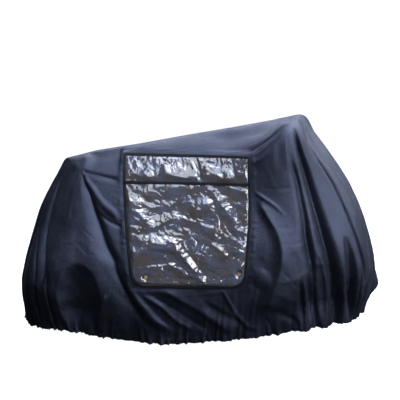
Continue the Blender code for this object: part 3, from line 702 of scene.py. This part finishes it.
def creases(*rows):
    """Creases from rows, brought to shares and metres."""
    return [Crease(*(np.array(part) / 1000 for part in row)) for row in rows]


SHEET_CREASES = creases(
    # The four bright facets of the crumpled middle, and the long fold that runs down from them
    ((90, 320), (200, 460), 30, 50, 7),
    ((200, 500), (400, 400), 34, 16, 8),
    ((220, 640), (380, 660), 46, 26, 11),
    ((380, 620), (640, 970), 26, 30, 8),
    ((360, 800), (560, 920), 20, 30, 5),
    ((120, 840), (380, 810), 10, 40, 4),
    # The rear edge, held by its tape
    ((0, 240), (120, 270), 40, 30, 8),
    ((0, 580), (150, 600), 30, 30, 7),
    ((20, 720), (160, 660), 18, 30, 3.5),
    # The streaks that hang from the mouth
    ((570, 340), (670, 300), 60, 30, 11),
    ((690, 140), (880, 440), 32, 40, 8),
    ((800, 100), (980, 160), 34, 30, 8),
    ((380, 120), (500, 100), 20, 40, 4.5),
    # The front half, which is duller
    ((420, 380), (620, 460), 10, 30, 2.5),
    ((600, 440), (920, 600), 12, 40, 3),
    ((700, 620), (980, 840), 14, 40, 3),
    ((900, 500), (1000, 520), 24, 20, 5),
    ((880, 680), (1000, 700), 20, 20, 4.5),
    ((120, 960), (400, 985), 22, 10, 4.5),
)
FLAP_CREASES = creases(
    ((20, 700), (200, 800), 50, 26, 6),
    ((200, 900), (340, 600), 50, 30, 6),
    ((340, 750), (550, 900), 60, 20, 7),
    ((570, 100), (620, 950), 12, 20, -6),
    ((660, 700), (820, 850), 50, 20, 7),
    ((840, 800), (980, 600), 50, 20, 6),
    ((860, 50), (900, 900), 10, 14, -1.5),
)


CREASE_END = 0.03


def crease_height(crease, across, fall, size):
    """Height of one crease: a straight-sided ridge along a line, its height times 1 less the
    distance over the width of the face on that side, and falling off past its ends."""
    start, end = crease.start * size, crease.end * size
    length = np.linalg.norm(end - start)
    forward = (end - start) / length
    ahead = (across - start[0]) * forward[0] + (fall - start[1]) * forward[1]
    beyond = np.maximum(np.maximum(-ahead, ahead - length), 0)
    aside = (fall - start[1]) * forward[0] - (across - start[0]) * forward[1]
    width = np.where(aside < 0, crease.above, crease.below)
    return crease.height * np.clip(1 - np.hypot(aside / width, beyond / CREASE_END), 0, 1)


def crumple(across, fall, count, pitches, steepness, seed):
    """Height of an all-over crumple: the sum of folded waves |x - round(x)| in fixed random
    directions, each bent by a slow noise and fading out in patches."""
    dice = np.random.default_rng(seed)
    total = np.zeros(across.shape)
    for pitch in np.geomspace(*pitches, count):
        swing = dice.uniform(0, math.pi)
        along = across * math.cos(swing) + fall * math.sin(swing)
        aside = fall * math.cos(swing) - across * math.sin(swing)
        bend = 0.35 * np.sin(aside / pitch * dice.uniform(0.8, 1.6) + dice.uniform(0, math.tau))
        place = along / pitch + bend + dice.uniform()
        patch = np.sin(along / pitch * 0.9 + dice.uniform(0, 6))
        patch *= np.sin(aside / pitch * 0.7 + dice.uniform(0, 6))
        total += steepness * pitch * np.abs(place - np.round(place)) * ramp(patch, -0.2, 0.6)
    return total


def facets(across, fall, pitch, height, seed):
    """Height of flat three-cornered facets: random heights at the corners of a bent lattice, read
    straight across each half of a cell, so that every half is a plane."""
    dice = np.random.default_rng(seed)
    table = dice.uniform(-1, 1, (64, 64))
    swing = dice.uniform(0.3, 1.2)
    u = (across * math.cos(swing) + fall * math.sin(swing)) / pitch + 8
    v = (fall * math.cos(swing) - across * math.sin(swing)) / pitch + 20
    u, v = u + 0.3 * np.sin(1.7 * v) + 0.12 * np.sin(4.1 * v), v + 0.34 * np.sin(1.3 * u + 1)
    column, row = np.floor(u).astype(int), np.floor(v).astype(int)
    right, below = u - column, v - row
    column, row = column % 63, row % 63
    first, last = table[column, row], table[column + 1, row + 1]
    side, under = table[column + 1, row], table[column, row + 1]
    upper = first + right * (side - first) + below * (under - first)
    lower = last + (1 - right) * (under - last) + (1 - below) * (side - last)
    return height * np.where(right + below < 1, upper, lower)


def vinyl_grid(film):
    """A vinyl sheet's [column, row] grid of points and places between two heights, with its
    lower corners rounded, its creases raised, and its edges held down by the tape."""
    top, bottom, corner = film.top, film.bottom, film.corner
    rows = int((top - bottom) / VINYL_STEP)
    heights = np.linspace(top, bottom, rows + 1)
    inset = corner - np.sqrt(corner**2 - np.clip(bottom + corner - heights, 0, corner) ** 2)
    rear, front = pocket_sides(heights)
    rear, front = rear + inset, front - inset
    columns = int((POCKET_FRONT - POCKET_REAR) / VINYL_STEP)
    share = np.linspace(0, 1, columns + 1)[:, None]
    around = rear * (1 - share) + front * share
    height = np.broadcast_to(heights, around.shape)
    size = np.array((float(np.ptp(around)), top - bottom))
    across, fall = around - around.min(), top - height
    raised = crumple(across, fall, film.waves, film.pitches, film.steepness, film.seed)
    for number, (pitch, depth) in enumerate(film.facets):
        raised += facets(across, fall, pitch, depth, film.seed + number)
    for crease in film.creases:
        raised += crease_height(crease, across, fall, size)
    edge = np.minimum(np.minimum(around - rear, front - around),
                      np.minimum(height - bottom, top - height))
    held = ramp(edge, *EDGE_HOLDS)
    if top < POCKET_TOP:
        held = held * ramp(FLAP_BOTTOM - height, *FLAP_HOLDS)
    for place in EYELETS:
        held = held * ramp(np.hypot(around - place[0], height - place[1]), *EYELET_HOLDS)
    out = film.lift(height) + (raised - np.percentile(raised, 5)).clip(*VINYL_RISE) * held
    points = on_wall(around.ravel(), height.ravel(), out.ravel()).reshape(around.shape + (3,))
    return points, np.stack([around, height], axis=-1)


def clear_vinyl():
    """Plasticised PVC film, calendered glossy: clear with a faint grey-brown haze, and sharp
    reflections that break up over a fine cockle."""
    made, tree, shader = new_material("clear_pvc_film")
    places = add_node(tree, "UVMap", {"uv_map": "cut"}).outputs["UV"]
    drift = add_node(tree, "TexNoise", Vector=places, Scale=22.0, Detail=2.0).outputs
    bent = add_node(tree, "VectorMath", {"operation": "MULTIPLY_ADD"},
                    i0=drift["Color"], i1=(0.05, 0.05, 0.0), i2=places).outputs["Vector"]
    crumbs = add_node(tree, "TexVoronoi", Vector=bent, Scale=48.0).outputs["Distance"]
    height = add_node(tree, "Math", {"operation": "MULTIPLY_ADD"},
                      i0=drift["Fac"], i1=1.6, i2=crumbs).outputs["Value"]
    haze = noise(tree, places, 14, 3)
    patch = spread(tree, haze, 0.38, 0.6, 0, 1)
    join(tree, shader, Base_Color=blend(tree, patch, "7A7370", "757A8A"),
         Roughness=spread(tree, haze, 0.45, 0.62, 0.03, 0.17),
         Normal=relief(tree, height, 0.55, 0.003), Transmission_Weight=0.9, IOR=1.53)
    return made


def sheet_lift(height):
    """The pocket sheet lies evenly on the cloth."""
    return np.full(height.shape, SHEET_LIFT)


def flap_lift(height):
    """The flap lies on the cloth where it is sewn and over the pocket's mouth lower down."""
    low, high = FLAP_LIFTS
    return low + (high - low) * ramp(-height, -POCKET_TOP, -POCKET_MOUTH)


vinyl = clear_vinyl()
Vinyl = namedtuple(
    "Vinyl", "node top bottom corner lift creases facets waves pitches steepness seed")
for film in (
    Vinyl("pocket_sheet", POCKET_MOUTH, POCKET_BOTTOM, CORNER_RADIUS, sheet_lift, SHEET_CREASES,
          ((0.11, 0.005), (0.04, 0.0026), (0.018, 0.0011)), 9, (0.008, 0.05), 0.065, 31),
    Vinyl("pocket_flap", POCKET_TOP, FLAP_BOTTOM, 0.001, flap_lift, FLAP_CREASES,
          ((0.06, 0.0026), (0.026, 0.0014)), 9, (0.008, 0.04), 0.046, 37),
):
    grid, cut = vinyl_grid(film)
    sheet = grid_object(film.node + "_vinyl", grid, cut, vinyl)
    thicken(sheet, VINYL_THICK, 1.0)
    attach(sheet, "root")
    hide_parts(film.node)

# ----------------------------------------
# The pocket's binding tapes. Black woven polyester tape, sewn over the raw edges of the vinyl
# with a row of stitches along its middle. It puckers a little where the thread pulls.
TAPE_THICK = 0.0018
TAPE_DROP = 0.0008
TAPE_GAP = 0.0004
TAPE_SOLID = 0.001
TAPE_STEP = 0.005
FLAP_LENGTH = 0.58
# The tape's section: places across it, and how high it stands there over the dip of its stitches
TAPE_ACROSS = np.array((0.0, 0.06, 0.25, 0.42, 0.5, 0.58, 0.75, 0.94, 1.0))
TAPE_CROWN = np.array((0.0, 0.7, 1.0, 0.95, 0.55, 0.95, 1.0, 0.7, 0.0))
TAPE_MIDDLE = 4


def places_of(around, height):
    """(around, height) places, one a row."""
    return np.stack(np.broadcast_arrays(around, height), axis=1)


def pocket_outline(step):
    """The pocket sheet's open outline of (around, height) places: down the rear edge, round the
    lower corners and up the front edge."""
    heights = np.arange(POCKET_MOUTH, POCKET_BOTTOM + CORNER_RADIUS, -step)
    turn = np.linspace(0, math.pi / 2, 14)
    corner_heights = POCKET_BOTTOM + CORNER_RADIUS * (1 - np.sin(turn))
    insets = np.concatenate([np.zeros(len(heights)), CORNER_RADIUS * (1 - np.cos(turn))])
    heights = np.concatenate([heights, corner_heights])
    rear, front = pocket_sides(heights)
    rear, front = rear + insets, front - insets
    across = np.linspace(rear[-1], front[-1], int((front[-1] - rear[-1]) / step))[1:-1]
    return np.concatenate([places_of(rear, heights), places_of(across, POCKET_BOTTOM),
                           places_of(front, heights)[::-1]])


def flap_outline(step):
    """The flap's closed outline: down its rear edge, along the bottom, up the front, and back."""
    heights = np.arange(POCKET_TOP, FLAP_BOTTOM, -step)
    rear, front = pocket_sides(heights)
    count = int(FLAP_LENGTH / step)
    bottom = np.linspace(*pocket_sides(FLAP_BOTTOM), count)
    top = np.linspace(POCKET_FRONT, POCKET_REAR, count)[1:-1]
    return np.concatenate([places_of(rear, heights), places_of(bottom, FLAP_BOTTOM),
                           places_of(front, heights)[::-1], places_of(top, POCKET_TOP)])


def tape_grid(path, closed, lift):
    """A band along the outer side of a path, as an [along, across] grid of points, raised over
    it by the tape's section."""
    before, after = (path[-1:], path[:1]) if closed else (path[:1], path[-1:])
    longer = np.concatenate([before, path, after])
    way = unit(longer[2:] - longer[:-2])
    aside = np.stack([way[:, 1], -way[:, 0]], axis=1)
    offset = TAPE_GAP + (TAPE_WIDTH - TAPE_GAP) * TAPE_ACROSS
    places = path[:, None] + aside[:, None] * offset[:, None]
    pucker = 0.0003 * np.sin(np.arange(len(path)) * 2.3)[:, None] * TAPE_CROWN
    out = lift(path[:, 1])[:, None] - TAPE_DROP + TAPE_THICK * TAPE_CROWN + pucker
    points = on_wall(places[..., 0].ravel(), places[..., 1].ravel(), out.ravel())
    points = points.reshape(places.shape[:2] + (3,))
    if closed:
        points = np.concatenate([points, points[:1]])
        places = np.concatenate([places, places[:1]])
    return points, places


def binding_tape():
    """Woven polyester grosgrain tape: matt black, with fine ribs across it 1.2 mm apart."""
    made, tree, shader = new_material("woven_grosgrain_tape")
    places = add_node(tree, "TexCoord").outputs["Object"]
    ribs = add_node(tree, "TexVoronoi", Vector=places, Scale=800.0).outputs["Distance"]
    join(tree, shader, Base_Color=blend(tree, noise(tree, places, 45, 3), "020203", "060608"),
         Normal=relief(tree, ribs, 0.6, 0.0004), Roughness=0.75, Specular_IOR_Level=0.1)
    return made


grosgrain = binding_tape()
tape_rows = []
for node, path, closed, lift in (
    ("pocket_tape", pocket_outline(TAPE_STEP), False, sheet_lift),
    ("flap_tape", flap_outline(TAPE_STEP), True, flap_lift),
):
    grid, cut = tape_grid(path, closed, lift)
    middle = cut[:, TAPE_MIDDLE]
    tape_rows.append((grid[:, TAPE_MIDDLE],
                      normals_of(skin, middle[:, 0], down_at(*middle.T))))
    tape = grid_object(node + "_band", grid[:, ::-1], cut[:, ::-1], grosgrain)
    close_doubles(tape)
    thicken(tape, TAPE_SOLID, -1.0)
    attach(tape, "root")
    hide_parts(node)

# ----------------------------------------
# The stitching. Lockstitch in bonded black polyester thread: one row along every binding tape,
# two along each seam, and one above the hem that holds the elastic's channel.
STITCH_PITCH = 0.0085
STITCH_LENGTH = 0.0056
THREAD_RADIUS = 0.0006
SIDES = 6
# Stitches stand this far to each side of a seam, and this far clear of the pocket
BESIDE_SEAM = 0.006
BESIDE_POCKET = 0.015
SEAM_RUN = np.linspace(0.03, 0.985, 260)
HEM_RUN = np.linspace(REAR_MIDDLE, REAR_MIDDLE + ROUND, 900)
HEM_ROW = 0.984
WRINKLE_STEP = 0.003


def read_row(values, run, at):
    """Rows of values along a run, read between their places on it."""
    return np.stack([np.interp(at, run, values[:, axis]) for axis in range(3)], axis=1)


def stitch_mesh(name, rows, look):
    """Stitches along rows of surface points. Each is a capsule of rings, small at both ends, laid
    along the row and half sunk into the surface."""
    along = np.array((-0.5, -0.36, 0.36, 0.5)) * STITCH_LENGTH
    radius = np.array((0.35, 1.0, 1.0, 0.35)) * THREAD_RADIUS
    turn = np.arange(SIDES) * math.tau / SIDES
    ring = np.stack([np.repeat(along, SIDES), np.outer(radius, np.cos(turn)).ravel(),
                     np.outer(radius, np.sin(turn)).ravel()], axis=1)
    places, ways, outs = [], [], []
    for points, outwards in rows:
        run = np.concatenate([[0], np.cumsum(np.linalg.norm(np.diff(points, axis=0), axis=1))])
        at = np.arange(STITCH_PITCH, run[-1] - STITCH_PITCH, STITCH_PITCH)
        places.append(read_row(points, run, at))
        ways.append(read_row(points, run, at + 0.002) - read_row(points, run, at - 0.002))
        outs.append(read_row(outwards, run, at))
    places, outs = np.concatenate(places), np.concatenate(outs)
    ways = unit(np.concatenate(ways))
    sides = unit(np.cross(outs, ways))
    frames = np.stack([ways, sides, np.cross(ways, sides)], axis=1)
    points = places[:, None] + np.einsum("vk,nkc->nvc", ring, frames)
    number = np.arange(len(ring)).reshape(-1, SIDES)
    beside = np.roll(number, -1, axis=1)
    quads = np.stack([number[:-1], beside[:-1], beside[1:], number[1:]], axis=-1).reshape(-1, 4)
    first = np.arange(len(places))[:, None, None] * len(ring)
    faces = (first + quads).reshape(-1, 4).tolist()
    faces += (first + np.stack([number[0, ::-1], number[-1]])).reshape(-1, SIDES).tolist()
    return mesh_object(name, points, faces, look)


def polyester_thread():
    """Bonded polyester thread: twisted and waxed, so each stitch has a soft glint along it."""
    made, tree, shader = new_material("bonded_polyester_thread")
    places = add_node(tree, "TexCoord").outputs["Object"]
    twist = noise(tree, places, 900, 1)
    join(tree, shader, Base_Color=blend(tree, twist, "0A0B0E", "24262E"),
         Normal=relief(tree, twist, 0.5, 0.0002), Roughness=0.55, Specular_IOR_Level=0.25)
    return made


def cloth_row(around, down):
    """Points along a line on the cloth, with their normals."""
    return cloth(around, down), normals_of(cloth, around, down, WRINKLE_STEP)


thread = polyester_thread()
tape_stitches = stitch_mesh("tape_stitches", tape_rows, thread)
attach(tape_stitches, "root")

seam_rows = []
for seam in (REAR_SEAM, FRONT_SEAM):
    for around in (seam_at(seam, SEAM_RUN) - BESIDE_SEAM, seam_at(seam, SEAM_RUN) + BESIDE_SEAM):
        points, outwards = cloth_row(around, SEAM_RUN)
        heights = points[:, 2] + FRONT_PEAK[2]
        clear = ((heights < POCKET_BOTTOM - BESIDE_POCKET) | (heights > POCKET_TOP + BESIDE_POCKET))
        for part in np.split(np.arange(len(SEAM_RUN)), np.flatnonzero(np.diff(clear)) + 1):
            if clear[part[0]] and len(part) > 4:
                seam_rows.append((points[part], outwards[part]))
        seam_rows.append(cloth_row(2 * FRONT_MIDDLE - around, SEAM_RUN))
seam_rows.append(cloth_row(HEM_RUN, np.full(len(HEM_RUN), HEM_ROW)))
seam_stitches = stitch_mesh("seam_stitches", seam_rows, thread)
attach(seam_stitches, "root")

# ----------------------------------------
# The eyelets. Two-part pressed brass, one through each lower corner of the pocket's sheet: a
# barrel rolled over to a domed flange on both faces.
def polished_brass():
    """Pressed and tumbled brass, lacquered: a warm yellow metal that dulls to brown in patches."""
    made, tree, shader = new_material("lacquered_brass")
    places = add_node(tree, "TexCoord").outputs["Object"]
    patina = noise(tree, places, 260, 3)
    join(tree, shader, Base_Color=blend(tree, patina, "C79A4B", "E8C27A"), Metallic=1.0,
         Roughness=spread(tree, patina, 0.3, 0.7, 0.38, 0.22),
         Normal=relief(tree, noise(tree, places, 1800, 1), 0.2, 0.0001))
    return made


brass = polished_brass()
for name in ("eyelet_rear", "eyelet_front"):
    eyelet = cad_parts[name]
    for place in eyelet.material_slots:
        place.material = brass

# ----------------------------------------
# The studio: a white paper sweep that is floor and backdrop in one, seven soft lamps, most of
# them in front and above, with two weak ones behind, and a dim grey room for the cloth to
# mirror. The camera is at the photograph's angle.
FLOOR_Z = -1.085
# The sweep's profile as (how far out, how far up), turned round its middle
SWEEP = ((0.0, 0.0), (12.0, 0.0), (13.5, 0.4), (14.6, 1.5), (15.0, 3.0), (15.0, 11.0))
swing = np.linspace(0, math.tau, 65)[:, None]
out, up = np.array(SWEEP).T
sweep_grid = np.stack(np.broadcast_arrays(out * np.cos(swing), out * np.sin(swing), FLOOR_Z + up),
                      axis=-1)
paper, tree, shader = new_material("seamless_paper")
floor = grid_object("floor", sweep_grid[::-1], sweep_grid[..., :2], paper)
close_doubles(floor)
join(tree, shader, Base_Color=to_linear("8C8D90"), Emission_Color=to_linear("FFFFFF"),
     Emission_Strength=0.99, Roughness=0.9)
floor.visible_diffuse = False
floor.visible_glossy = False

world = bpy.data.worlds.new("studio")
world.use_nodes = True
tree = world.node_tree
direction = add_node(tree, "TexCoord").outputs["Generated"]
height = add_node(tree, "SeparateXYZ", Vector=direction).outputs["Z"]
rise = add_node(tree, "MapRange", {"interpolation_type": "SMOOTHSTEP"}, Value=height,
                From_Min=-0.04, From_Max=0.3).outputs["Result"]
join(tree, tree.nodes["Background"], Color=blend(tree, rise, "0A0B0C", "2A2D33"))
bpy.context.scene.world = world
bpy.context.scene.view_settings.view_transform = "Standard"

CENTRE = Vector((-0.45, 0, -0.45))
Lamp = namedtuple("Lamp", "name place size power colour")
for lamp in (
    Lamp("front_softbox", (2.44, -3.45, 0.51), (4.6, 1.6), 520, "ECF1FF"),
    Lamp("high_softbox", (0.85, -1.45, 3.7), (3.4, 2.0), 520, "ECF1FF"),
    Lamp("side_softbox", (3.02, 0.61, 2.51), (3.0, 2.4), 400, "ECF1FF"),
    Lamp("sky_window", (-0.85, -2.8, 2.98), (2.6, 2.6), 195, "E4EEFF"),
    Lamp("ceiling_window", (-0.55, -0.8, 3.4), (2.6, 1.5), 190, "DDE6FF"),
    Lamp("back_left_softbox", (-1.6, 3.05, 2.75), (2.8, 1.6), 150, "D8E2FF"),
    Lamp("back_right_softbox", (1.1, 3.05, 2.75), (2.6, 1.6), 120, "D8E2FF"),
):
    light = bpy.data.lights.new(lamp.name, "AREA")
    light.shape = "RECTANGLE"
    light.size, light.size_y = lamp.size
    light.energy = lamp.power
    light.color = to_linear(lamp.colour)[:3]
    placed = new_object(lamp.name, light)
    placed.location = lamp.place
    placed.rotation_euler = (CENTRE - Vector(lamp.place)).to_track_quat("-Z", "Y").to_euler()

camera = new_object("camera", bpy.data.cameras.new("camera"))
camera.data.lens = 65.04
camera.data.sensor_width = 36
camera.data.shift_y = -0.05
camera.location = Vector((0, -3.5, 1.25)) - Vector(FRONT_PEAK)
camera.rotation_euler = (math.radians(90 - 8.44), 0, 0)
bpy.context.scene.camera = camera
